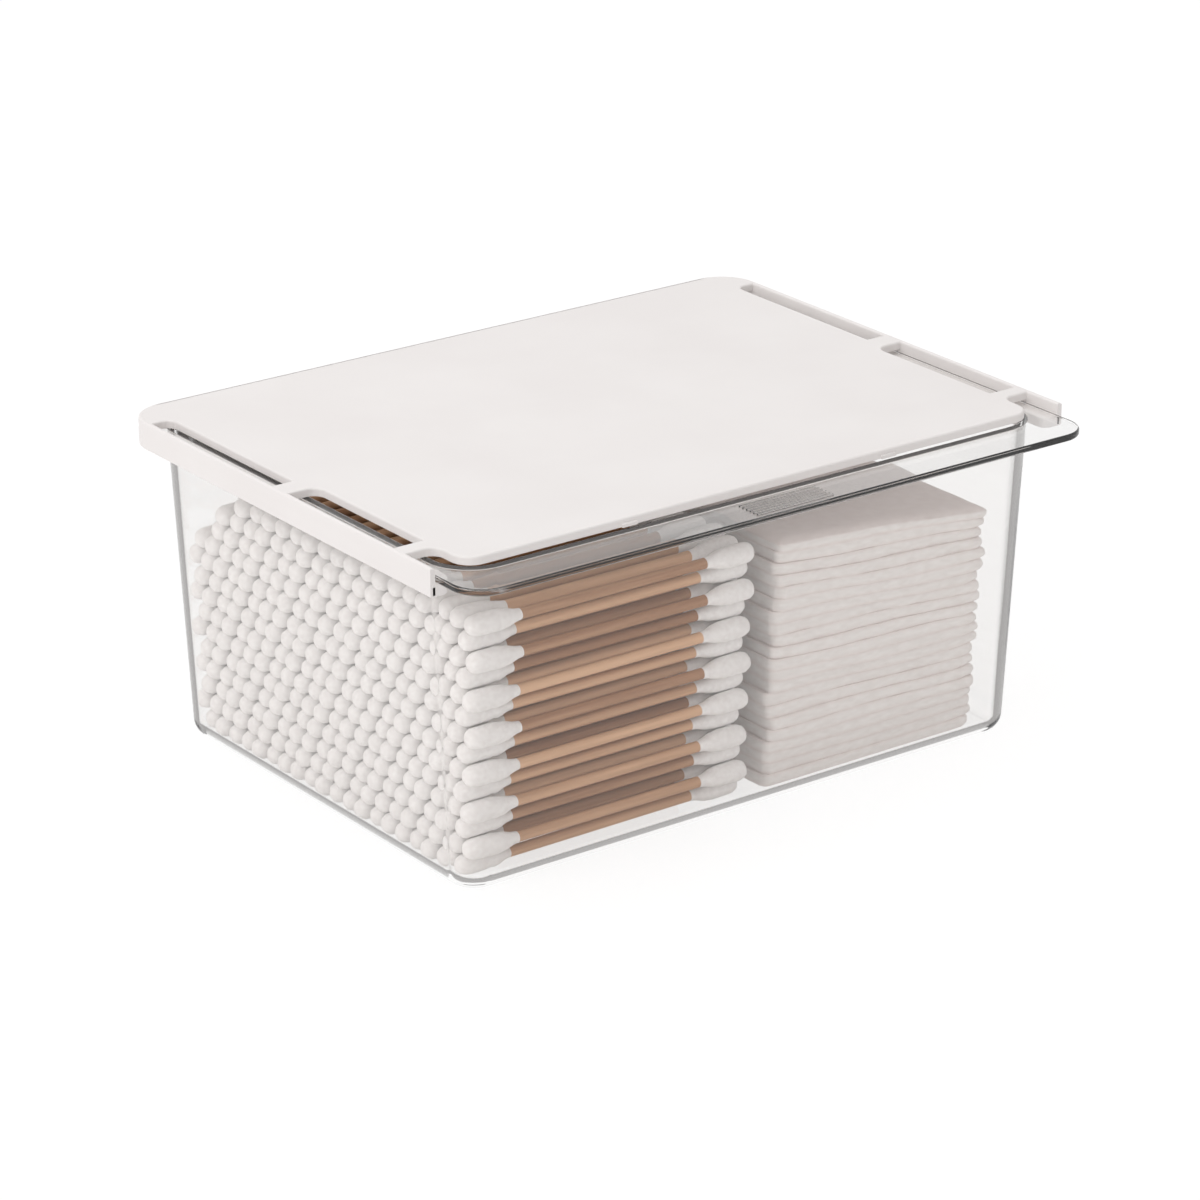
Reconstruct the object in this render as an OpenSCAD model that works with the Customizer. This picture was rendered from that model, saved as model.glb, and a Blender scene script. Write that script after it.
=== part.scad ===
// Drawer organizer for small toiletries: a white cover plate with rails under its edges, and
// a clear drawer that hangs in the rails by its flange and slides out towards -Y.
// The drawer holds rows of cotton swabs on the left and a stack of cotton pads on the right.
// The origin is the centre of the drawer's bottom, on the surface that it stands on.

/* [Drawer] */
// Width of the drawer's bottom, left to right
tray_w = 154; // [150:1:175]
// Depth of the drawer's bottom, front to back
tray_d = 114.4; // [108:0.2:125]
// Height of the drawer up to the underside of its flange
tray_h = 74.8; // [71:0.2:90]
// How far each wall leans out between the bottom and the flange
tray_draft = 3.7; // [1:0.1:4.5]
// Thickness of the walls
tray_wall = 1.8; // [1.4:0.1:2.4]
// Thickness of the floor
tray_floor = 2; // [1.4:0.1:3]
// Radius of the upright corners at the bottom, outside
tray_corner_r = 7; // [5.5:0.5:12]
// Radius of the edge between the floor and the walls, outside
tray_base_r = 4.2; // [3.4:0.2:5]

/* [Flange] */
// Thickness of the flange
flange_t = 1.6; // [1.2:0.05:2.6]
// How far the flange stands out in front of the cover as the pull
flange_reach = 12.6; // [9:0.2:24]
// Radius of the flange's front corners
flange_corner_r = 7.4; // [4:0.2:12]
// Radius of the bend from the inside of the walls into the flange
rim_bend_r = 1.4; // [0.6:0.1:1.6]
// Length of the grip's ribs, left to right
grip_w = 21; // [12:1:60]
// Width of one rib
grip_rib_w = 0.5; // [0.4:0.05:0.7]
// Height of one rib
grip_rib_h = 0.35; // [0.2:0.05:0.8]
// Distance from one rib to the next
grip_pitch = 1.25; // [1:0.05:1.5]
// Number of ribs
grip_ribs = 6; // [3:1:7]
// Distance from the flange's front edge to the middle of the first rib
grip_edge = 1.6; // [1:0.1:2]
// How far the middle of the ribs lies to the right of the drawer's middle
grip_offset = 0.75; // [-30:0.25:30]

/* [Cover] */
// Thickness of the cover plate
plate_t = 2; // [1.4:0.1:3]
// Width of the rail that a lip gives the flange, from the drawer's wall to the skirt
rail_w = 4.6; // [4:0.2:9]
// Thickness of the skirt round the sides and the back
skirt_t = 1.2; // [1:0.1:2.2]
// Thickness of the lips under the flange, and of the skirt below it
lip_t = 2.5; // [2:0.1:4]
// Room behind the drawer's wall, inside the skirt
back_room = 0.6; // [0.4:0.1:5]
// How far behind the drawer's front wall the plate's front edge lies, at the rim
front_open = 1.3; // [0:0.1:2.5]
// Radius of the cover's back corners, outside
cover_corner_r = 9.5; // [6:0.5:14]
// Radius of the plate's front corners beside the notches
plate_front_r = 5; // [2:0.5:6]
// Radius of the front lips' inner corners
lip_front_r = 2; // [1:0.25:2]

/* [Slots of the cover] */
// Width of the middle slots and the notches
slot_w = 7.3; // [6.4:0.1:7.6]
// Width of the rear slots
rear_slot_w = 4.9; // [3.6:0.1:6]
// Length of the rear slots
rear_slot_l = 50; // [30:1:51]
// Length of the middle slots
mid_slot_l = 40.5; // [30:0.5:44]
// Length of the front notches, which are open to the front
notch_l = 10.6; // [8:0.2:14]
// Width of the bridge between the notch and the middle slot
front_bridge = 4.3; // [3:0.1:6]
// Width of the bridge between the middle slot and the rear slot
mid_bridge = 6; // [4:0.5:10]
// Radius of the inner rear corner of each slot
slot_corner_r = 3; // [1:0.25:3.5]
// Width of a nub on the front edge
nub_w = 4; // [2:0.5:8]
// Height of a nub, and how far it stands out
nub_h = 0.9; // [0.4:0.1:1.4]
// Distance between the two nubs
nub_spacing = 71; // [40:1:120]

/* [Fits] */
// Sideways room between the flange and the skirt, and between the lips and the drawer
side_gap = 0.6; // [0.3:0.05:0.9]
// Room above, below and behind the flange, for it to slide
slide_gap = 0.2; // [0.1:0.05:0.4]

/* [Cotton swabs] */
// Length of a swab over both tips
swab_l = 75; // [70:0.5:78]
// Largest diameter of a cotton tip
tip_d = 4.95; // [4.4:0.05:5.2]
// Length of a cotton tip
tip_l = 13; // [10:0.5:14]
// Length of the rounding at a tip's end
nose_l = 3; // [2.5:0.25:3.75]
// Length over which a tip narrows to the stick
taper_l = 6; // [3:0.25:6]
// Diameter of the wooden stick
stick_d = 2.5; // [2:0.1:3]
// Least room between neighbouring tips
swab_gap = 0.15; // [0.12:0.01:0.3]
// Room between the outermost swabs and the drawer's front and back wall
column_room = 1; // [0.8:0.1:2]
// How unevenly the swabs' ends lie
swab_scatter = 0.4; // [0:0.1:0.7]
// Number of rows on top of one another at the front
swab_rows = 14; // [6:1:15]
// Height of the heap of swabs at the back
heap_back_h = 51.8; // [30:0.1:64]
// Rise of the heap for each millimetre towards the front
heap_slope = 0.6; // [0.2:0.05:1.2]

/* [Cotton pads] */
// Sideways room between the swabs and the stack of pads, which is as wide as the rest of the drawer
pads_room = 5.3; // [3:0.1:14]
// Sideways room between the stack of pads and the rounding of the drawer's right wall
pads_side_room = 4.8; // [1:0.1:8]
// Depth of a pad, front to back
pad_d = 50; // [40:1:60]
// Thickness of a pad at the left side of the stack, where it is fuller
pad_left_t = 2.85; // [2.4:0.05:3.1]
// Thickness of a pad at the right side of the stack
pad_right_t = 2.6; // [2:0.05:3.1]
// Radius of a pad's corners
pad_corner_r = 2; // [1:0.5:12]
// Number of pads in the stack
pads = 21; // [6:1:21]
// How far the top of the stack leans towards the right
pad_lean = 1.2; // [0:0.1:2]
// How far the top of the stack leans towards the front
pad_front_lean = 2.6; // [0:0.1:3]
// How unevenly the pads lie on one another
pad_scatter = 0.5; // [0:0.1:0.8]
// Height of the waves that the pads' faces follow
pad_wave_h = 0.25; // [0:0.05:0.3]

/* [Hidden] */
$fn = 48;
// Room that soft contents keep from the drawer and from each other
rest_gap = 0.1;
// Overlap that makes two joined shapes one solid
bite = 0.4;
// Extra length of a cutting shape past the face that it cuts
past = 1;
// Angles that scatter the swabs' ends: steps from one swab and from one row to the next
end_step = 137;
end_row_step = 71;
// Angles that scatter the pads sideways and in depth, from one pad to the next
side_step = 97;
depth_step = 61;
depth_start = 30;
// Angle that the pads' wave runs through from left to right, and its step from pad to pad
wave_run = 400;
wave_step = 47;
// The wave grows to its full height over this many pads
wave_growth = 4;

tray_top = tray_h + flange_t;
inner_base_r = tray_base_r - tray_wall;
// Half the distance between the centres of the upright corners
corner_x = tray_w / 2 - tray_corner_r;
corner_y = tray_d / 2 - tray_corner_r;
// Distance from a corner's centre to the outer face of the wall at the height z
function reach(z) = tray_corner_r + tray_draft * z / tray_h;
// Half the drawer's inner depth at the height z
function inner_y(z) = corner_y + reach(z) - tray_wall;

rail_in_x = corner_x + reach(tray_h) + rail_w;
cover_x = rail_in_x + skirt_t;
lip_in_x = corner_x + reach(tray_h) + side_gap;
skirt_in_y = corner_y + reach(tray_h) + back_room;
cover_back_y = skirt_in_y + skirt_t;
cover_front_y = -(corner_y + reach(tray_h) - front_open);
inner_corner_r = cover_corner_r - skirt_t;
flange_x = rail_in_x - side_gap;
flange_back_y = skirt_in_y - slide_gap;
flange_front_y = cover_front_y - flange_reach;
flange_back_r = inner_corner_r - side_gap;

lip_top = tray_h - slide_gap;
skirt_bottom = lip_top - lip_t;
plate_bottom = tray_top + slide_gap;

// The slots one after another, from the front edge to the back
notch_end = cover_front_y + notch_l;
mid_start = notch_end + front_bridge;
mid_end = mid_start + mid_slot_l;
rear_start = mid_end + mid_bridge;
rear_end = rear_start + rear_slot_l;
// Inner edges of the slots: the middle ones open a strip of the drawer's inside too
mid_slot_x = rail_in_x - slot_w;
rear_slot_x = rail_in_x - rear_slot_w;
// A lip reaches inwards as far as its slot, but stays clear of the drawer's wall
mid_lip_x = max(lip_in_x, mid_slot_x);
rear_lip_x = max(lip_in_x, rear_slot_x);

// Half outline of a swab's tip along its length: a round nose, the thick part, then the taper
tip_r = tip_d / 2;
tip_profile = concat(
    [for (a = [0 : 30 : 90]) [tip_r * sin(a), nose_l * (1 - cos(a))]],
    [[tip_r, tip_l - taper_l], [stick_d / 2, tip_l]]);
// Swabs: rows of touching circles seen from the left, each row lying in the hollows of the last
first_row_z = tray_floor + rest_gap + tip_r;
outer_column_y = inner_y(first_row_z) - column_room - tip_r;
columns = floor(2 * outer_column_y / (tip_d + swab_gap)) + 1;
first_pitch = 2 * outer_column_y / (columns - 1);
row_pitch = sqrt(pow(tip_d + swab_gap, 2) - pow(first_pitch / 2, 2));
// The outermost swabs' noses lie in the drawer's round corners, which set how far left all may lie:
// first_nose_y is how far their middle lies past the centre of the corner
first_corner_r = reach(first_row_z) - tray_wall - rest_gap;
first_nose_y = outer_column_y - corner_y;
function corner_fit(r, along) =
    along + sqrt(max(0, pow(first_corner_r, 2) - pow(max(0, first_nose_y + r), 2)));
swab_left_x = -corner_x - min([for (p = tip_profile) corner_fit(p[0], p[1])]) + swab_scatter;
function row_z(k) = first_row_z + k * row_pitch;
function row_half(k) = inner_y(row_z(k)) - column_room - tip_r;
function column_pitch(k) = 2 * row_half(k) / (columns - 1);
// Every second row, from the bottom row on, starts half a pitch further back and holds one swab less
function held_back(k) = (k + 1) % 2;
function column_y(k, i) = -row_half(k) + (i + held_back(k) / 2) * column_pitch(k);
function heap_end_y(k) = row_half(k) - max(0, row_z(k) + tip_r - heap_back_h) / heap_slope;
function end_shift(k, i) = swab_scatter * sin(end_step * i + end_row_step * k);

// Pads: they fill the width that the swabs leave, and their front edges creep outwards up the stack
pad_left_x = swab_left_x + swab_l + swab_scatter + pads_room + pad_scatter;
pad_right_x = tray_w / 2 - tray_base_r - pads_side_room;
pad_w = pad_right_x - pad_left_x;
pad_front_y = -(tray_d / 2 - tray_base_r);
function pad_x(k) = (pad_left_x + pad_right_x) / 2 + pad_lean * k / pads + pad_scatter * sin(side_step * k);
function pad_y(k) = pad_front_y + pad_d / 2 + pad_scatter - rest_gap - pad_front_lean * k / pads
                    + pad_scatter * sin(depth_step * k + depth_start);
// Height of the underside of pad k, where u runs from 0 at the left to 1 at the right
function pad_wave(k, u) = pad_wave_h * min(1, k / wave_growth) * sin(wave_run * u + wave_step * k);
function pad_z(k, u) = tray_floor + rest_gap + k * (pad_left_t * (1 - u) + pad_right_t * u)
                       + pad_wave(k, u);

function two_digits(k) = str(k < 10 ? "0" : "", k);
SWAB_NODES = [for (k = [1 : swab_rows]) str("swab_row_", two_digits(k))];
PAD_NODES = [for (k = [1 : pads]) str("cotton_pad_", two_digits(k))];

// Half outline of the drawer's outside, from the middle of the floor up to the rim
outer_profile = concat(
    [[0, 0]],
    [for (a = [-90 : 15 : 0])
        [reach(tray_base_r) - tray_base_r + tray_base_r * cos(a), tray_base_r + tray_base_r * sin(a)]],
    [[reach(tray_h), tray_h], [reach(tray_h), tray_top - bite], [0, tray_top - bite]]);

// Half outline of the hollow, from the floor up to the bend into the flange
inner_base_x = reach(tray_base_r) - tray_wall - inner_base_r;
inner_top_x = reach(tray_h) - tray_wall + rim_bend_r;
inner_profile = concat(
    [[0, tray_floor]],
    [for (a = [-90 : 15 : 0])
        [inner_base_x + inner_base_r * cos(a), tray_floor + inner_base_r * (1 + sin(a))]],
    [for (a = [180 : -15 : 90])
        [inner_top_x + rim_bend_r * cos(a), tray_top - rim_bend_r + rim_bend_r * sin(a)]],
    [[inner_top_x, tray_top + past], [0, tray_top + past]]);

// The profile carried round the drawer: a quarter turn at each corner and straight walls between
module well(profile) {
    for (quarter = [0 : 3]) {
        side = [[1, 1], [-1, 1], [-1, -1], [1, -1]][quarter];
        translate([side[0] * corner_x, side[1] * corner_y, 0])
            rotate(90 * quarter)
                rotate_extrude(angle = 90) polygon(profile);
    }
    across(profile, corner_x, corner_y);
    rotate(90) across(profile, corner_y, corner_x);
}

// A straight run of the profile and its mirror image, 2 * half_l long in Y
module across(profile, half_w, half_l) {
    right = [for (p = profile) [p[0] + half_w, p[1]]];
    left = [for (i = [len(profile) - 1 : -1 : 0]) [-profile[i][0] - half_w, profile[i][1]]];
    outline = concat(
        [for (i = [1 : len(right) - 2]) right[i]],
        [for (i = [1 : len(left) - 2]) left[i]]);
    rotate([90, 0, 0]) linear_extrude(2 * half_l, center = true) polygon(outline);
}

// Outline of the flange, with small back corners and larger front corners
module flange_outline() {
    for (side = [-1, 1]) {
        translate([side * (flange_x - flange_back_r), flange_back_y - flange_back_r]) circle(flange_back_r);
        translate([side * (flange_x - flange_corner_r), flange_front_y + flange_corner_r])
            circle(flange_corner_r);
    }
    translate([-flange_x, flange_front_y + flange_corner_r])
        square([2 * flange_x, flange_back_y - flange_back_r - flange_front_y - flange_corner_r]);
    translate([-flange_x + flange_corner_r, flange_front_y])
        square([2 * (flange_x - flange_corner_r), flange_corner_r]);
    translate([-flange_x + flange_back_r, flange_back_y - flange_back_r])
        square([2 * (flange_x - flange_back_r), flange_back_r]);
}

// One rib of the grip, with round ends
module grip_rib() {
    half = grip_w / 2 - grip_rib_w / 2;
    linear_extrude(grip_rib_h + bite) {
        square([2 * half, grip_rib_w], center = true);
        for (side = [-1, 1]) translate([side * half, 0]) circle(grip_rib_w / 2);
    }
}

module drawer_tray() {
    color([0.88, 0.9, 0.91, 0.35]) difference() {
        union() {
            well(outer_profile);
            translate([0, 0, tray_h]) linear_extrude(flange_t) flange_outline();
            for (i = [0 : grip_ribs - 1])
                translate([grip_offset, flange_front_y + grip_edge + i * grip_pitch, tray_top - bite])
                    grip_rib();
        }
        well(inner_profile);
    }
}

// Outline of the cover: square at the front, round at the back corners
module cover_outline(half_w, front_y, back_y, corner_r) {
    translate([-half_w, front_y]) square([2 * half_w, back_y - corner_r - front_y]);
    translate([-half_w + corner_r, back_y - corner_r]) square([2 * (half_w - corner_r), corner_r]);
    for (side = [-1, 1]) translate([side * (half_w - corner_r), back_y - corner_r]) circle(corner_r);
}

// Outline of a slot on the right, from in_x to the skirt, with its inner rear corner rounded
module slot_outline(in_x, start_y, end_y) {
    slot_r = min(slot_corner_r, (rail_in_x - in_x) / 2);
    translate([in_x, start_y]) square([rail_in_x - in_x, end_y - slot_r - start_y]);
    translate([in_x + slot_r, end_y - slot_r]) square([rail_in_x - in_x - slot_r, slot_r]);
    translate([in_x + slot_r, end_y - slot_r]) circle(slot_r);
}

// The notch at the plate's front corner on the right, which leaves that corner rounded
module notch_outline() {
    slot_outline(mid_slot_x, cover_front_y - past, notch_end);
    difference() {
        translate([mid_slot_x - plate_front_r, cover_front_y - past])
            square([plate_front_r + past / 2, plate_front_r + past]);
        translate([mid_slot_x - plate_front_r, cover_front_y + plate_front_r]) circle(plate_front_r);
    }
}

// The lips on the right, which reach into the skirt; the front one has a round inner corner
module lips_outline() {
    lip_out_x = rail_in_x + skirt_t / 2;
    translate([rear_lip_x, rear_start]) square([lip_out_x - rear_lip_x, rear_slot_l]);
    translate([mid_lip_x, mid_start]) square([lip_out_x - mid_lip_x, mid_slot_l]);
    translate([mid_lip_x, cover_front_y + lip_front_r])
        square([lip_out_x - mid_lip_x, notch_l - lip_front_r]);
    translate([mid_lip_x + lip_front_r, cover_front_y])
        square([lip_out_x - mid_lip_x - lip_front_r, lip_front_r]);
    translate([mid_lip_x + lip_front_r, cover_front_y + lip_front_r]) circle(lip_front_r);
}

module cover_plate() {
    color([0.93, 0.92, 0.91]) difference() {
        union() {
            translate([0, 0, plate_bottom]) linear_extrude(plate_t)
                cover_outline(cover_x, cover_front_y, cover_back_y, cover_corner_r);
            translate([0, 0, skirt_bottom]) linear_extrude(plate_bottom - skirt_bottom + bite)
                difference() {
                    cover_outline(cover_x, cover_front_y, cover_back_y, cover_corner_r);
                    cover_outline(rail_in_x, cover_front_y - past, skirt_in_y, inner_corner_r);
                }
            translate([0, 0, skirt_bottom]) linear_extrude(lip_t) {
                lips_outline();
                mirror([1, 0]) lips_outline();
            }
            for (side = [-1, 1])
                translate([side * nub_spacing / 2 - nub_w / 2, cover_front_y - nub_h / 2, plate_bottom])
                    cube([nub_w, nub_h / 2 + bite, nub_h]);
        }
        translate([0, 0, plate_bottom - past / 2]) linear_extrude(plate_t + past) {
            slots_outline();
            mirror([1, 0]) slots_outline();
        }
    }
}

module slots_outline() {
    notch_outline();
    slot_outline(mid_slot_x, mid_start, mid_end);
    slot_outline(rear_slot_x, rear_start, rear_end);
}

// Half outline of a whole swab, with the same tip at both ends
far_tip = [for (i = [len(tip_profile) - 1 : -1 : 0]) [tip_profile[i][0], swab_l - tip_profile[i][1]]];
swab_profile = concat(tip_profile, far_tip);

module swab() {
    rotate([0, 90, 0]) rotate_extrude($fn = 24) polygon(swab_profile);
}

module swab_row(k) {
    color([0.9, 0.84, 0.76])
        for (i = [0 : columns - 1 - held_back(k)])
            if (column_y(k, i) <= heap_end_y(k) + rest_gap)
                translate([swab_left_x + end_shift(k, i), column_y(k, i), row_z(k)]) swab();
}

// A pad is a soft slab: its two faces follow the wave and the slope of the stack
pad_steps = 8;
module cotton_pad(k) {
    under = [for (s = [0 : pad_steps]) [pad_w * (s / pad_steps - 0.5), pad_z(k, s / pad_steps)]];
    over = [for (s = [pad_steps : -1 : 0])
        [pad_w * (s / pad_steps - 0.5), pad_z(k + 1, s / pad_steps) - rest_gap]];
    color([0.94, 0.93, 0.92])
        translate([pad_x(k), pad_y(k), 0])
            intersection() {
                rotate([90, 0, 0]) linear_extrude(pad_d + past, center = true)
                    polygon(concat(under, over));
                linear_extrude(tray_top) pad_outline();
            }
}

module pad_outline() {
    square([pad_w, pad_d - 2 * pad_corner_r], center = true);
    square([pad_w - 2 * pad_corner_r, pad_d], center = true);
    for (side = [-1, 1], end = [-1, 1])
        translate([side * (pad_w / 2 - pad_corner_r), end * (pad_d / 2 - pad_corner_r)])
            circle(pad_corner_r);
}

cover_plate();
drawer_tray();
for (k = [0 : swab_rows - 1])
    swab_row(k);
for (k = [0 : pads - 1])
    cotton_pad(k);
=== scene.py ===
from math import cos, pi, radians, sin

import bpy
import numpy as np
from mathutils import Matrix, Vector
from mathutils.geometry import tessellate_polygon


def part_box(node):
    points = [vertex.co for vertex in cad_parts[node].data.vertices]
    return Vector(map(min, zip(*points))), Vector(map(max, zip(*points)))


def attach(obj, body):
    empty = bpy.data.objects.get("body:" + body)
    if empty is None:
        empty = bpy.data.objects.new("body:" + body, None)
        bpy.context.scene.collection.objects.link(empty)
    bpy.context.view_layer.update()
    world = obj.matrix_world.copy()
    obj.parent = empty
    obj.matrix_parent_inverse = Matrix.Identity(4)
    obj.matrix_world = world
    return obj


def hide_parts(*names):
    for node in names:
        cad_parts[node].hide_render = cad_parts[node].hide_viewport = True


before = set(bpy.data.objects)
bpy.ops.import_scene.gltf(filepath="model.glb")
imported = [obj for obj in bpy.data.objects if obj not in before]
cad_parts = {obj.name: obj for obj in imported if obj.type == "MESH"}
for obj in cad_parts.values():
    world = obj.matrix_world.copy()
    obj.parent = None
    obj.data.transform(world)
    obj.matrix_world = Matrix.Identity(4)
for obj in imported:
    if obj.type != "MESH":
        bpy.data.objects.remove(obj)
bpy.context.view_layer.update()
MM = 0.001

# Camera: it looks down on the near left corner from the front left, as a long lens does.
# Its distance, turn and lens put the drawer's corners where the photograph has them.
view_turn = radians(-36.3633)
view_height = radians(21.6609)
view_roll = radians(-0.1626)
view_distance = 1073.53 * MM
aim_right = 0.46 * MM
aim_up = 29.99 * MM
lens_widths = 4637.61 / 1200
back = Vector((sin(view_turn) * cos(view_height), -cos(view_turn) * cos(view_height), sin(view_height)))
level_right = (-back).cross(Vector((0, 0, 1))).normalized()
level_up = level_right.cross(-back)
right = level_right * cos(view_roll) + level_up * sin(view_roll)
up = level_up * cos(view_roll) - level_right * sin(view_roll)
camera_data = bpy.data.cameras.new("camera")
camera_data.sensor_width = 36
camera_data.lens = lens_widths * camera_data.sensor_width
camera = bpy.data.objects.new("camera", camera_data)
camera.matrix_world = Matrix.Translation(back * view_distance + right * aim_right + up * aim_up) @ Matrix(
    (right, up, back)).transposed().to_4x4()
bpy.context.scene.collection.objects.link(camera)
bpy.context.scene.camera = camera


# Cover plate: one white injection moulding with a plate, a skirt round three sides and six lips.
# It is satin polystyrene, with every edge rounded by the mould. Its slots let the core pull out
# over the lips, and the lips carry the drawer's flange.
def new_piece(name, verts, faces, materials=(), face_material=None, sharp_deg=40):
    """Puts points and faces into a mesh object at the origin, smooth but for edges over sharp_deg."""
    mesh = bpy.data.meshes.new(name)
    mesh.from_pydata(verts, [], faces)
    for material in materials:
        mesh.materials.append(material)
    if face_material is not None:
        mesh.polygons.foreach_set("material_index", face_material)
    mesh.shade_smooth()
    mesh.set_sharp_from_angle(angle=radians(sharp_deg))
    mesh.validate()
    piece = bpy.data.objects.new(name, mesh)
    bpy.context.scene.collection.objects.link(piece)
    return piece


def even_normals(piece):
    """Lets the large flat faces rule the shading beside the narrow faces of a rounded edge."""
    shading = piece.modifiers.new("flat faces rule", "WEIGHTED_NORMAL")
    shading.weight = 100
    shading.keep_sharp = True


def arc(centre, radius, start_deg, end_deg, steps=8):
    """Points on a circle about centre, evenly turned from start_deg to end_deg."""
    turn = np.radians(np.linspace(start_deg, end_deg, steps + 1))
    return np.stack([centre[0] + radius * np.cos(turn), centre[1] + radius * np.sin(turn)], 1)


def inset(outline, distance):
    """Moves each point of an outline inwards, along the line that halves its corner, so that both
    edges beside it move by the same distance."""
    ahead = np.roll(outline, -1, 0) - outline
    ahead /= np.linalg.norm(ahead, axis=1, keepdims=True)
    before = np.roll(ahead, 1, 0)
    into = np.stack([-ahead[:, 1] - before[:, 1], ahead[:, 0] + before[:, 0]], 1)
    into /= 1 + np.sum(ahead * before, 1, keepdims=True)
    return outline + into * distance


def slab(outline, low, high, low_round, high_round, steps=4):
    """A flat moulding: its outline carried from low to high, with a quarter circle of the given
    radius at each edge, and both faces filled."""
    turn = np.linspace(0, pi / 2, steps + 1)
    insets = np.concatenate([low_round * (1 - np.sin(turn)), high_round * (1 - np.cos(turn))])
    heights = np.concatenate([low + low_round * (1 - np.cos(turn)), high - high_round * (1 - np.sin(turn))])
    rings = [np.column_stack([inset(outline, d), np.full(len(outline), z)])
             for d, z in zip(insets, heights)]
    count = len(outline)
    filling = np.array(tessellate_polygon([[Vector(p) for p in rings[0]]]))
    a, b, c = (rings[0][filling[:, i], :2] for i in range(3))
    turned = (b - a)[:, 0] * (c - a)[:, 1] - (b - a)[:, 1] * (c - a)[:, 0] < 0
    filling[turned] = filling[turned][:, ::-1]
    around = np.arange(count)
    after = (around + 1) % count
    sides = [np.column_stack([k + around, k + after, k + count + after, k + count + around])
             for k in range(0, count * (len(rings) - 1), count)]
    faces = filling[:, ::-1].tolist() + np.concatenate(sides).tolist()
    faces += (filling + count * (len(rings) - 1)).tolist()
    return np.concatenate(rings), faces


def mirrored(outline):
    """The outline on the other side of the middle, still counterclockwise."""
    return (outline * [-1, 1])[::-1]


def joined(parts):
    """Several shapes as the points and faces of one mesh."""
    verts, faces, count = [], [], 0
    for part_verts, part_faces in parts:
        verts.append(part_verts)
        faces += [[i + count for i in face] for face in part_faces]
        count += len(part_verts)
    return np.concatenate(verts), faces


nub_w = 4 * MM
nub_h = 0.9 * MM
nub_x = 35.5 * MM
(cover_low, cover_high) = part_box("cover_plate")
cover_x, cover_back_y, cover_top = cover_high
cover_front_y = cover_low.y + nub_h / 2
skirt_bottom = cover_low.z
skirt_t = 1.2 * MM
plate_t = 2 * MM
lip_t = 2.5 * MM
lip_in_x = 81.3 * MM
cover_corner_r = 9.5 * MM
plate_front_r = 5 * MM
slot_end_r = 3 * MM
lip_front_r = 2 * MM
rear_slot_end_r = 2.45 * MM
rail_in_x = cover_x - skirt_t
mid_slot_x = rail_in_x - 7.3 * MM
rear_slot_x = rail_in_x - 4.9 * MM
notch_end = cover_front_y + 10.6 * MM
mid_start = notch_end + 4.3 * MM
mid_end = mid_start + 40.5 * MM
rear_start = mid_end + 6 * MM
rear_end = rear_start + 50 * MM
edge_round = 0.5 * MM
bridge_end_x = cover_x - edge_round
skirt_middle_x = cover_x - skirt_t / 2

plate_side = np.concatenate([
    arc((mid_slot_x - plate_front_r, cover_front_y + plate_front_r), plate_front_r, -90, 0),
    arc((mid_slot_x + slot_end_r, notch_end - slot_end_r), slot_end_r, 180, 90),
    [(bridge_end_x, notch_end), (bridge_end_x, mid_start), (mid_slot_x, mid_start)],
    arc((mid_slot_x + slot_end_r, mid_end - slot_end_r), slot_end_r, 180, 90),
    [(bridge_end_x, mid_end), (bridge_end_x, rear_start), (rear_slot_x, rear_start)],
    arc((rear_slot_x + rear_slot_end_r, rear_end - rear_slot_end_r), rear_slot_end_r, 180, 90),
    [(bridge_end_x, rear_end)],
    arc((cover_x - cover_corner_r, cover_back_y - cover_corner_r), cover_corner_r - edge_round, 0, 90)])
plate_outline = np.concatenate([plate_side, mirrored(plate_side)])
skirt_side = np.concatenate([
    [(cover_x, cover_front_y)],
    arc((cover_x - cover_corner_r, cover_back_y - cover_corner_r), cover_corner_r, 0, 90, 12)])
skirt_inside = np.concatenate([
    arc((cover_x - cover_corner_r, cover_back_y - cover_corner_r), cover_corner_r - skirt_t, 90, 0, 12),
    [(rail_in_x, cover_front_y)]])
skirt_outline = np.concatenate([
    skirt_side, mirrored(skirt_side), mirrored(skirt_inside), skirt_inside])
lip_outlines = [
    np.array([(lip_in_x, mid_start), (skirt_middle_x, mid_start),
              (skirt_middle_x, mid_end), (lip_in_x, mid_end)]),
    np.array([(lip_in_x, rear_start), (skirt_middle_x, rear_start),
              (skirt_middle_x, rear_end), (lip_in_x, rear_end)]),
    np.concatenate([
        arc((lip_in_x + lip_front_r, cover_front_y + lip_front_r), lip_front_r, 180, 270),
        [(skirt_middle_x, cover_front_y), (skirt_middle_x, notch_end), (lip_in_x, notch_end)]])]

plate_bottom = cover_top - plate_t
nub_front_y = cover_front_y - nub_h / 2
nub_back_y = cover_front_y + nub_h
nub_outlines = [np.array([(x - nub_w / 2, nub_front_y), (x + nub_w / 2, nub_front_y),
                          (x + nub_w / 2, nub_back_y), (x - nub_w / 2, nub_back_y)])
                for x in (-nub_x, nub_x)]

cover_parts = [slab(plate_outline, plate_bottom, cover_top, 0.2 * MM, edge_round),
               slab(skirt_outline, skirt_bottom, cover_top, 0.4 * MM, edge_round)]
for outline in lip_outlines:
    for one_side in (outline, mirrored(outline)):
        cover_parts.append(slab(one_side, skirt_bottom, skirt_bottom + lip_t, 0.3 * MM, 0.3 * MM))
for outline in nub_outlines:
    cover_parts.append(slab(outline, plate_bottom, plate_bottom + nub_h, 0.1 * MM, 0.25 * MM))


def maker(tree):
    """A maker of nodes for one tree."""
    def node(kind, **settings):
        made = tree.nodes.new(kind)
        for key, value in settings.items():
            setattr(made, key, value)
        return made
    return node


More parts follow.
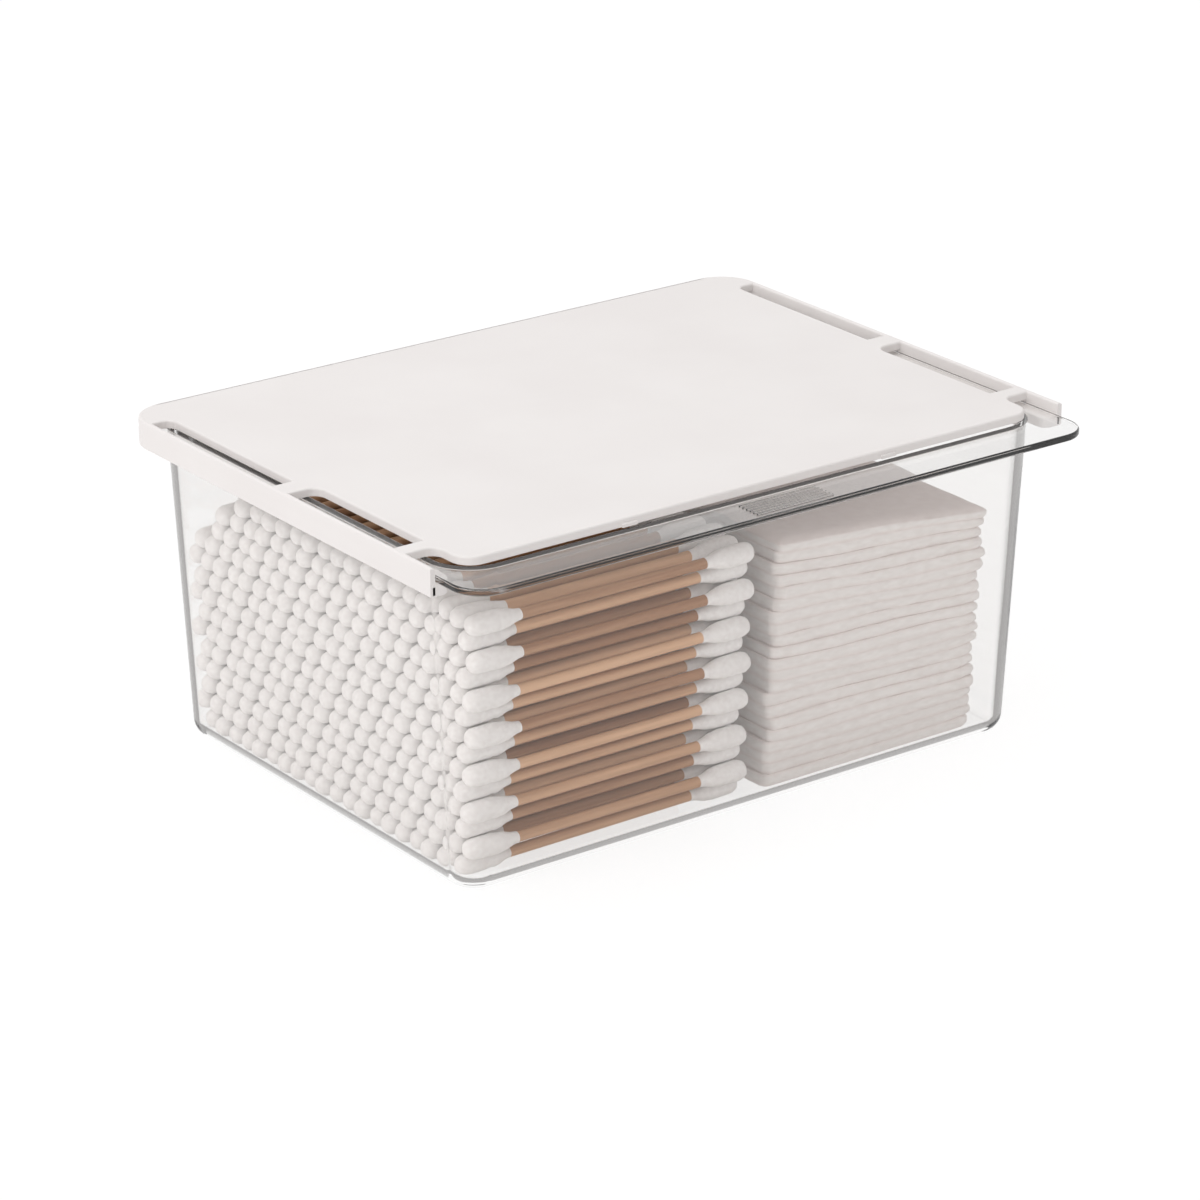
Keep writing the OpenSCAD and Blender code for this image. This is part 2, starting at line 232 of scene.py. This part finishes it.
def new_material(name):
    """A material with its node tree, its Principled shader and a maker of further nodes."""
    material = bpy.data.materials.new(name)
    material.use_nodes = True
    tree = material.node_tree
    return material, tree, tree.nodes["Principled BSDF"], maker(tree)


def colour_by(tree, node, source, dark, light, low=0.35, high=0.65):
    """A ramp that turns a grey value into a colour between dark and light."""
    ramp = node("ShaderNodeValToRGB")
    ramp.color_ramp.elements[0].position = low
    ramp.color_ramp.elements[0].color = (*dark, 1)
    ramp.color_ramp.elements[1].position = high
    ramp.color_ramp.elements[1].color = (*light, 1)
    tree.links.new(source, ramp.inputs["Fac"])
    return ramp.outputs["Color"]


def noise_of(tree, node, scale, detail=3.0, stretch=(1, 1, 1)):
    """Noise in the piece's own coordinates, in cells per metre, stretched along its axes."""
    place = node("ShaderNodeTexCoord")
    mapping = node("ShaderNodeMapping")
    mapping.inputs["Scale"].default_value = stretch
    noise = node("ShaderNodeTexNoise")
    noise.inputs["Scale"].default_value = scale
    noise.inputs["Detail"].default_value = detail
    tree.links.new(place.outputs["Object"], mapping.inputs["Vector"])
    tree.links.new(mapping.outputs["Vector"], noise.inputs["Vector"])
    return noise.outputs["Fac"]


def bump_by(tree, node, shader, source, height, strength=1.0):
    """Raises the surface by the source's value times height, in metres."""
    bump = node("ShaderNodeBump")
    bump.inputs["Strength"].default_value = strength
    bump.inputs["Distance"].default_value = height
    tree.links.new(source, bump.inputs["Height"])
    tree.links.new(bump.outputs["Normal"], shader.inputs["Normal"])


def rough_by(tree, node, shader, source, low, high):
    """Lets the roughness run from low to high with the source's value."""
    rough = node("ShaderNodeMapRange")
    rough.inputs["To Min"].default_value = low
    rough.inputs["To Max"].default_value = high
    tree.links.new(source, rough.inputs["Value"])
    tree.links.new(rough.outputs["Result"], shader.inputs["Roughness"])


white_plastic, tree, shader, node = new_material("satin_white_plastic")
cloud = noise_of(tree, node, 28)
tree.links.new(colour_by(tree, node, cloud, (0.80, 0.782, 0.777), (0.825, 0.811, 0.806)),
               shader.inputs["Base Color"])
grain = noise_of(tree, node, 2600, 2)
rough_by(tree, node, shader, grain, 0.36, 0.5)
bump_by(tree, node, shader, grain, 0.02 * MM, 0.3)
shader.inputs["IOR"].default_value = 1.5

cover = new_piece("cover_moulding", *joined(cover_parts), [white_plastic])
even_normals(cover)
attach(cover, "cover")
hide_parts("cover_plate")

# Drawer tray: one clear injection moulding, a tapered tub whose rim bends out into a flat flange.
# It is crystal polystyrene with polished faces, a wall of 1.8 mm and ribs to grip on the flange.
tray_w = 154 * MM
tray_d = 114.4 * MM
tray_h = 74.8 * MM
tray_draft = 3.7 * MM
tray_wall = 1.8 * MM
tray_floor = 2 * MM
tray_corner_r = 7 * MM
tray_base_r = 4.2 * MM
floor_inside_r = tray_base_r - tray_wall
rim_bend_r = 1.4 * MM
flange_round = 0.45 * MM
under_round = 0.45 * MM
flange_t = 1.6 * MM
tray_top = tray_h + flange_t
corner_x = tray_w / 2 - tray_corner_r
corner_y = tray_d / 2 - tray_corner_r
(tray_low, tray_high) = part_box("drawer_tray")
flange_x, flange_back_y = tray_high.x, tray_high.y
flange_front_y = tray_low.y
flange_front_r = 7.4 * MM
flange_back_r = 7.7 * MM


def reach(z):
    """Distance from the centre of an upright corner to the wall's outer face at the height z."""
    return tray_corner_r + tray_draft * z / tray_h


def loop_turns(arc_steps, side_steps):
    """Where each point of a rounded rectangle stands: the corner centre that it belongs to, from -1
    to 1 each way, and its turn about that centre. Along a side the centre slides and the turn rests."""
    signs = np.array([(1, 1), (-1, 1), (-1, -1), (1, -1), (1, 1)], float)
    centres, turns = [], []
    for k in range(4):
        turns.append(np.linspace(k, k + 1, arc_steps + 1) * pi / 2)
        centres.append(np.repeat(signs[k:k + 1], arc_steps + 1, 0))
        slide = np.linspace(0, 1, side_steps + 2)[1:-1, None]
        turns.append(np.full(side_steps, (k + 1) * pi / 2))
        centres.append(signs[k] * (1 - slide) + signs[k + 1] * slide)
    return np.concatenate(centres), np.concatenate(turns)


def rounded_loops(levels, arc_steps=8, side_steps=0):
    """Level rounded rectangles, one for each row (half width, front y, back y, front radius, back
    radius, z): every corner is a quarter circle about a centre one radius inside both edges."""
    half_w, front_y, back_y, front_r, back_r, z = (column[:, None] for column in np.array(levels).T)
    centre, turn = loop_turns(arc_steps, side_steps)
    depth = (centre[:, 1] + 1) / 2
    radius = front_r + (back_r - front_r) * depth
    x = centre[:, 0] * (half_w - radius) + radius * np.cos(turn)
    y = (front_y + front_r) * (1 - depth) + (back_y - back_r) * depth + radius * np.sin(turn)
    return np.stack([x, y, np.broadcast_to(z, x.shape)], 2)


def skin(loops):
    """Faces between loops of points, each joined to the next, with the first and the last filled."""
    rows, count = loops.shape[:2]
    start = np.arange(rows - 1)[:, None] * count
    around = np.arange(count)
    after = (around + 1) % count
    quads = np.stack([start + around, start + after, start + count + after, start + count + around], 2)
    first = around[::-1].tolist()
    last = (around + (rows - 1) * count).tolist()
    return loops.reshape(-1, 3), [first] + quads.reshape(-1, 4).tolist() + [last]


def wall_level(offset, z):
    """A loop of the tub at a distance from the upright corners' centres."""
    return (corner_x + offset, -corner_y - offset, corner_y + offset, offset, offset, z)


def flange_level(inwards, z):
    """A loop of the flange's outline, moved inwards."""
    return (flange_x - inwards, flange_front_y + inwards, flange_back_y - inwards,
            flange_front_r - inwards, flange_back_r - inwards, z)


quarter = np.linspace(0, pi / 2, 7)
tub = [wall_level(0.5 * MM, 0)]
base_in = reach(tray_base_r) - tray_base_r
tub += [wall_level(base_in + tray_base_r * sin(a), tray_base_r * (1 - cos(a))) for a in quarter]
wall_top = reach(tray_h)
tub += [wall_level(wall_top + under_round * (1 - cos(a)), tray_h - under_round * (1 - sin(a)))
        for a in quarter]
tub += [flange_level(flange_round * (1 - sin(a)), tray_h + flange_round * (1 - cos(a))) for a in quarter]
tub += [flange_level(flange_round * (1 - cos(a)), tray_top - flange_round * (1 - sin(a))) for a in quarter]
bend_in = wall_top - tray_wall + rim_bend_r
tub += [wall_level(bend_in - rim_bend_r * sin(a), tray_top - rim_bend_r * (1 - cos(a))) for a in quarter]
floor_in = reach(tray_base_r) - tray_wall - floor_inside_r
tub += [wall_level(floor_in + floor_inside_r * cos(a), tray_floor + floor_inside_r * (1 - sin(a)))
        for a in quarter]
tub += [wall_level(0.5 * MM, tray_floor)]

rib_l = 21 * MM
rib_w = 0.5 * MM
rib_h = 0.35 * MM
rib_pitch = 1.25 * MM
ribs = 6
grip_x = 0.75 * MM
grip_y = flange_front_y + 1.6 * MM
tray_parts = [skin(rounded_loops(tub, arc_steps=10))]
for k in range(ribs):
    y = grip_y + k * rib_pitch
    rib = np.concatenate([arc((grip_x + rib_l / 2 - rib_w / 2, y), rib_w / 2, -90, 90),
                          arc((grip_x - rib_l / 2 + rib_w / 2, y), rib_w / 2, 90, 270)])
    tray_parts.append(slab(rib, tray_top - 0.05 * MM, tray_top + rib_h, 0.01 * MM, 0.15 * MM, 2))


def mixed(tree, node, share, first, second):
    """One shader blended into another by a share."""
    mix = node("ShaderNodeMixShader")
    tree.links.new(share, mix.inputs["Fac"])
    tree.links.new(first, mix.inputs[1])
    tree.links.new(second, mix.inputs[2])
    return mix.outputs["Shader"]


clear_plastic, tree, shader, node = new_material("clear_polystyrene")
shader.inputs["Base Color"].default_value = (0.985, 0.982, 0.978, 1)
shader.inputs["Transmission Weight"].default_value = 1
shader.inputs["IOR"].default_value = 1.57
rough_by(tree, node, shader, noise_of(tree, node, 60), 0.0, 0.03)
path = node("ShaderNodeLightPath")
lamp_or_room = node("ShaderNodeMath", operation="MAXIMUM")
see_through = node("ShaderNodeBsdfTransparent")
see_through.inputs["Color"].default_value = (0.99, 0.985, 0.98, 1)
tree.links.new(path.outputs["Is Shadow Ray"], lamp_or_room.inputs[0])
tree.links.new(path.outputs["Is Diffuse Ray"], lamp_or_room.inputs[1])
plastic = mixed(tree, node, lamp_or_room.outputs[0], shader.outputs["BSDF"], see_through.outputs["BSDF"])
tree.links.new(plastic, tree.nodes["Material Output"].inputs["Surface"])

tray = new_piece("tray_moulding", *joined(tray_parts), [clear_plastic])
even_normals(tray)
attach(tray, "drawer")
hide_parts("drawer_tray")

# Cotton swabs: birch sticks with a tip of wound cotton at each end, laid in by the handful.
# They lie across the left half in rows, each row in the hollows of the one below.
swab_l = 75 * MM
tip_r = 4.95 / 2 * MM
tip_l = 13 * MM
nose_l = 3 * MM
taper_l = 6 * MM
stick_r = 2.5 / 2 * MM
swab_gap = 0.15 * MM
swab_scatter = 0.4 * MM
end_step = 137
end_row_step = 71
rest_gap = 0.1 * MM
column_room = 1 * MM
swab_rows = 14
heap_back_h = 51.8 * MM
heap_slope = 0.6
swab_sides = 12


def inner_y(z):
    """Half the tray's inner depth at the height z."""
    return corner_y + reach(z) - tray_wall


first_row_z = tray_floor + rest_gap + tip_r
outer_column_y = inner_y(first_row_z) - column_room - tip_r
columns = int(2 * outer_column_y / (2 * tip_r + swab_gap)) + 1
first_pitch = 2 * outer_column_y / (columns - 1)
row_pitch = ((2 * tip_r + swab_gap) ** 2 - (first_pitch / 2) ** 2) ** 0.5

# The outermost swabs' noses lie in the tray's round corners, which set how far left all may lie.
# Their middle lies past the corner's centre by outer_column_y - corner_y.
first_corner_r = reach(first_row_z) - tray_wall - rest_gap
nose_turn = np.radians([0, 30, 60, 90])
nose_r = tip_r * np.sin(nose_turn)
nose_x = nose_l * (1 - np.cos(nose_turn))
corner_fit = nose_x + np.sqrt(np.maximum(0, first_corner_r ** 2 - (outer_column_y - corner_y + nose_r) ** 2))
swab_left_x = -corner_x - corner_fit.min() + swab_scatter

tip_x = np.array([0, 0.06, 0.25, 0.6, 1]) * nose_l
tip_size = np.array([0, 0.45, 0.78, 0.96, 1]) * tip_r
taper_x = tip_l - taper_l * np.array([1, 0.6, 0.25, 0])
taper_size = np.array([1, 0.86, 0.6, 0.51]) * tip_r
swab_x = np.concatenate([tip_x, taper_x, swab_l - taper_x[::-1], swab_l - tip_x[::-1]])
swab_size = np.concatenate([tip_size, taper_size, taper_size[::-1], tip_size[::-1]])
swab_rings = len(swab_x)
wood_ring = len(tip_x) + len(taper_x) - 1

cotton, tree, shader, node = new_material("wound_cotton")
tuft = noise_of(tree, node, 900, 5)
tree.links.new(colour_by(tree, node, tuft, (0.86, 0.845, 0.84), (0.94, 0.935, 0.93)),
               shader.inputs["Base Color"])
shader.inputs["Roughness"].default_value = 0.95
shader.inputs["Specular IOR Level"].default_value = 0.15
shader.inputs["Sheen Weight"].default_value = 0.25
shader.inputs["Sheen Roughness"].default_value = 0.6
bump_by(tree, node, shader, tuft, 0.2 * MM, 0.5)

birch, tree, shader, node = new_material("birch_stick")
fibre = noise_of(tree, node, 900, 4, (0.04, 1, 1))
tone = node("ShaderNodeAttribute", attribute_name="tone")
blend = node("ShaderNodeMix", data_type="FLOAT")
blend.inputs["Factor"].default_value = 0.5
tree.links.new(fibre, blend.inputs["A"])
tree.links.new(tone.outputs["Fac"], blend.inputs["B"])
wood = colour_by(tree, node, blend.outputs["Result"], (0.40, 0.205, 0.105), (0.78, 0.49, 0.30), 0.25, 0.75)
tree.links.new(wood, shader.inputs["Base Color"])
shader.inputs["Roughness"].default_value = 0.6
bump_by(tree, node, shader, fibre, 0.05 * MM, 0.5)


def swab_row(k, draw):
    """The points and faces of row k: every swab is rings about its own line, whose ends are drawn
    a little out of place and whose rings are a little out of round."""
    z = first_row_z + k * row_pitch
    half = inner_y(z) - column_room - tip_r
    held_back = (k + 1) % 2
    i = np.arange(columns - held_back)
    y = -half + (i + held_back / 2) * 2 * half / (columns - 1)
    kept = y <= half - max(0, z + tip_r - heap_back_h) / heap_slope + rest_gap
    i, y = i[kept], y[kept]
    start_x = swab_left_x + swab_scatter * np.sin(np.radians(end_step * i + end_row_step * k))
    turn = np.linspace(0, 2 * pi, swab_sides, endpoint=False)
    wobble = 1 + 0.03 * draw.uniform(-1, 0.4, (len(i), swab_rings, swab_sides))
    size = swab_size[None, :, None] * wobble
    lean = draw.uniform(-1, 1, (2, len(i), 1, 1)) * 0.12 * MM
    along = (swab_x / swab_l * 2 - 1)[None, :, None]
    roll = draw.uniform(0, 2 * pi, (len(i), 1, 1)) + turn
    points = np.stack([
        np.broadcast_to(start_x[:, None, None] + swab_x[None, :, None], size.shape),
        y[:, None, None] + size * np.cos(roll) + lean[0] * along,
        z + size * np.sin(roll) + lean[1] * along], 3).reshape(-1, 3)
    ring = np.arange(swab_rings - 1)[:, None] * swab_sides
    side = np.arange(swab_sides)
    after = (side + 1) % swab_sides
    quads = np.stack([ring + side, ring + after, ring + swab_sides + after, ring + swab_sides + side], 2)
    per_swab = swab_rings * swab_sides
    faces = (np.arange(len(i))[:, None, None] * per_swab + quads.reshape(1, -1, 4)).reshape(-1, 4)
    is_wood = np.tile(np.repeat(np.arange(swab_rings - 1) == wood_ring, swab_sides), len(i))
    tones = np.repeat(draw.uniform(0, 1, len(i)), per_swab)
    return points, faces, is_wood.astype(np.int32), tones


def give_values(piece, name, values):
    """Keeps one value for each point, which the piece's material reads by its name."""
    piece.data.attributes.new(name, "FLOAT", "POINT").data.foreach_set("value", values.astype(np.float32))


swab_draw = np.random.default_rng(7)
for k in range(swab_rows):
    points, faces, wood_faces, tones = swab_row(k, swab_draw)
    row = new_piece(f"swabs_{k + 1:02d}", points, faces.tolist(), [cotton, birch], wood_faces, 80)
    give_values(row, "tone", tones)
    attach(row, "drawer")
    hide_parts(f"swab_row_{k + 1:02d}")

# Cotton pads: rectangular pads cut from layered cotton, stacked beside the swabs.
# The cut edges are soft and uneven, and the stack is fuller at its left side. The seams between the pads are
# painted a darker pinkish grey as shade in the creases.
pads_room = 5.3 * MM
pad_d = 50 * MM
pad_left_t = 2.85 * MM
pad_right_t = 2.6 * MM
pad_corner_r = 2 * MM
pads = 21
pad_lean = 1.2 * MM
pad_front_lean = 2.6 * MM
pad_scatter = 0.5 * MM
pads_side_room = 4.8 * MM
side_step = 97
depth_step = 61
depth_start = 30
wave_h = 0.25 * MM
wave_growth = 4
wave_run = 400
wave_step = 47
top_droop = 0.9 * MM
pad_left_x = swab_left_x + swab_l + swab_scatter + pads_room + pad_scatter
pad_right_x = tray_w / 2 - tray_base_r - pads_side_room
pad_w = pad_right_x - pad_left_x
pad_front_y = -(tray_d / 2 - tray_base_r)


def pad_underside(k, u):
    """Height of the underside of pad k, where u runs from 0 at the left to 1 at the right: the sum
    of the pads below it, with a shallow wave that runs a little over once from side to side."""
    wave = wave_h * min(1, k / wave_growth) * np.sin(np.radians(wave_run * u + wave_step * k))
    return tray_floor + rest_gap + k * (pad_left_t * (1 - u) + pad_right_t * u) + wave


def pad_shape(k, draw):
    """Pad k as rounded loops: from the middle of its underside out to a soft cut edge and back over
    the top. Waves and fray push the edge in and out, and the seams are deepest at the right.
    Also gives each point's share of the way to the nearer seam, by which the material paints a pinkish grey
    shade into the seams between pads."""
    middle_x = (pad_left_x + pad_right_x) / 2 + pad_lean * k / pads + pad_scatter * sin(radians(side_step * k))
    middle_y = (pad_front_y + pad_d / 2 + pad_scatter - rest_gap - pad_front_lean * k / pads
                + pad_scatter * sin(radians(depth_step * k + depth_start)))
    flat = np.array([20, 12, 6, 3, 1.4]) * MM
    face = np.array([0.0, 0.04, 0.25, 0.5, 0.75, 0.96, 1.0])
    inwards = np.concatenate([flat, np.zeros(len(face)), flat[::-1]])
    share = np.concatenate([np.zeros(len(flat)), face, np.ones(len(flat))])
    radius = np.maximum(pad_corner_r - inwards, 1.2 * MM)
    rows = [(pad_w / 2 - d, -pad_d / 2 + d, pad_d / 2 - d, r, r, 0) for d, r in zip(inwards, radius)]
    loops = rounded_loops(rows, arc_steps=5, side_steps=24)
    edge = loops[len(flat) + 2, :, :2]
    outwards = edge / np.array([pad_w, pad_d])
    outwards /= np.abs(outwards).max(1, keepdims=True)
    around = np.arange(loops.shape[1]) / loops.shape[1] * 2 * pi
    waves = sum(draw.uniform(0.04, 0.1) * MM * np.sin(n * around + draw.uniform(0, 2 * pi))
                for n in (3, 7, 13, 23))
    fray = draw.normal(0, 0.03, loops.shape[:2]) * MM
    to_right = np.clip(edge[:, 0] / (pad_w / 2) * 6 - 5, 0, 1)
    seam_depth = 0.12 * MM + to_right * draw.uniform(0.2, 1.3) * MM
    near_seam = np.abs(share * 2 - 1)[:, None] ** 3
    near_edge = np.clip(1 - inwards / (6 * MM), 0, 1)[:, None]
    pushed = (waves - 0.25 * MM + fray) * near_edge - seam_depth * near_seam * near_edge
    loops[:, :, :2] += outwards * pushed[:, :, None]
    u = loops[:, :, 0] / pad_w + 0.5
    low = pad_underside(k, u)
    high = pad_underside(k + 1, u) - rest_gap / 4
    edge_share = np.clip(1 - inwards / (3 * MM), 0, 1)[:, None] ** 2 * share[:, None]
    droop = top_droop * edge_share * (k == pads - 1)
    loops[:, :, 2] = low + (high - droop - low) * share[:, None]
    loops[:, :, 0] += middle_x
    loops[:, :, 1] += middle_y
    return skin(loops), np.broadcast_to(near_seam, loops.shape[:2]).ravel()


pad_cotton, tree, shader, node = new_material("layered_cotton")
tuft = noise_of(tree, node, 700, 6, (0.6, 0.6, 1.6))
# Painted shade: towards each seam between pads the cotton is mixed into a darker pinkish grey, standing in for
# the dim warm light in the creases.
seam = node("ShaderNodeAttribute", attribute_name="seam")
painted_seam_shade = node("ShaderNodeMix", data_type="RGBA")
painted_seam_shade.inputs["B"].default_value = (0.80, 0.69, 0.665, 1)
seam_shade_share = node("ShaderNodeMath", operation="MULTIPLY")
seam_shade_share.inputs[1].default_value = 0.45
tree.links.new(seam.outputs["Fac"], seam_shade_share.inputs[0])
tree.links.new(seam_shade_share.outputs[0], painted_seam_shade.inputs["Factor"])
tree.links.new(colour_by(tree, node, tuft, (0.85, 0.825, 0.81), (0.92, 0.905, 0.895)), painted_seam_shade.inputs["A"])
tree.links.new(painted_seam_shade.outputs["Result"], shader.inputs["Base Color"])
shader.inputs["Roughness"].default_value = 0.95
shader.inputs["Specular IOR Level"].default_value = 0.1
shader.inputs["Sheen Weight"].default_value = 0.3
shader.inputs["Sheen Roughness"].default_value = 0.6
bump_by(tree, node, shader, tuft, 0.2 * MM, 0.4)

pad_draw = np.random.default_rng(11)
for k in range(pads):
    (points, faces), seams = pad_shape(k, pad_draw)
    pad = new_piece(f"pad_{k + 1:02d}", points, faces, [pad_cotton], None, 80)
    # The seam values tell the material where to paint the shade between the pads.
    give_values(pad, "seam", seams)
    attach(pad, "drawer")
    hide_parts(f"cotton_pad_{k + 1:02d}")

# Floor, lamps and room: a white sheet under a white room, with broad lamps above and in front.
# The camera, a reflection and clear plastic see both as white. Light that has turned inside the
# plastic comes from the unlit side of the room instead, which draws the plastic's edges dark.
scene = bpy.context.scene
scene.view_settings.view_transform = "Standard"


def seen_and_turned(tree, node):
    """Two values of a ray: whether it sees things directly, and whether it turned inside plastic."""
    path = node("ShaderNodeLightPath")
    direct = node("ShaderNodeMath", operation="MAXIMUM")
    seen = node("ShaderNodeMath", operation="MAXIMUM")
    bounced = node("ShaderNodeMath", operation="GREATER_THAN")
    bounced.inputs[1].default_value = 0.5
    turned = node("ShaderNodeMath", operation="MULTIPLY")
    tree.links.new(path.outputs["Is Camera Ray"], direct.inputs[0])
    tree.links.new(path.outputs["Is Glossy Ray"], direct.inputs[1])
    tree.links.new(direct.outputs[0], seen.inputs[0])
    tree.links.new(path.outputs["Is Transmission Ray"], seen.inputs[1])
    tree.links.new(path.outputs["Glossy Depth"], bounced.inputs[0])
    tree.links.new(bounced.outputs[0], turned.inputs[0])
    tree.links.new(path.outputs["Is Transmission Ray"], turned.inputs[1])
    return seen.outputs[0], turned.outputs[0]


floor_half = 3.0
unlit_colour = (0.36, 0.35, 0.345, 1)
floor_corners = [(-floor_half, -floor_half, 0), (floor_half, -floor_half, 0),
                 (floor_half, floor_half, 0), (-floor_half, floor_half, 0)]
floor = new_piece("floor", floor_corners, [(0, 1, 2, 3)])
floor_paper, tree, shader, node = new_material("floor_paper")
shader.inputs["Base Color"].default_value = (0.93, 0.93, 0.93, 1)
shader.inputs["Roughness"].default_value = 0.9
shader.inputs["Specular IOR Level"].default_value = 0
seen, turned = seen_and_turned(tree, node)
share = node("ShaderNodeMath", operation="MULTIPLY")
share.inputs[1].default_value = 0.82
tree.links.new(seen, share.inputs[0])
white = node("ShaderNodeEmission")
white.inputs["Strength"].default_value = 1.06
unlit = node("ShaderNodeEmission")
unlit.inputs["Color"].default_value = unlit_colour
paper = mixed(tree, node, share.outputs[0], shader.outputs["BSDF"], white.outputs["Emission"])
tree.links.new(mixed(tree, node, turned, paper, unlit.outputs["Emission"]),
               tree.nodes["Material Output"].inputs["Surface"])
floor.data.materials.append(floor_paper)

world = bpy.data.worlds.new("room")
scene.world = world
world.use_nodes = True
tree = world.node_tree
tree.nodes.clear()
node = maker(tree)
seen, turned = seen_and_turned(tree, node)
lit = node("ShaderNodeBackground")
lit.inputs["Color"].default_value = (1.0, 0.965, 0.95, 1)
lit.inputs["Strength"].default_value = 0.62
plain = node("ShaderNodeBackground")
plain.inputs["Color"].default_value = (1, 1, 1, 1)
unlit = node("ShaderNodeBackground")
unlit.inputs["Color"].default_value = unlit_colour
shown = mixed(tree, node, turned, plain.outputs["Background"], unlit.outputs["Background"])
tree.links.new(mixed(tree, node, seen, lit.outputs["Background"], shown),
               node("ShaderNodeOutputWorld").inputs["Surface"])


def lamp(name, place, aim, size, power, colour):
    """A square area lamp at place that faces aim."""
    data = bpy.data.lights.new(name, "AREA")
    data.shape = "SQUARE"
    data.size = size
    data.energy = power
    data.color = colour
    lamp_object = bpy.data.objects.new(name, data)
    lamp_object.location = place
    lamp_object.rotation_euler = (Vector(aim) - Vector(place)).to_track_quat("-Z", "Y").to_euler()
    scene.collection.objects.link(lamp_object)


lamp("left_lamp", (-1.0, 0.0, 0.6), (0, 0, 0.04), 0.8, 4.3, (1.0, 0.972, 0.96))
lamp("front_lamp", (-0.1, -1.0, 0.5), (0, 0, 0.04), 0.8, 0.6, (1.0, 0.98, 0.96))
lamp("top_lamp", (0.1, 0.2, 1.2), (0, 0, 0.04), 1.0, 4.0, (1.0, 0.995, 0.99))
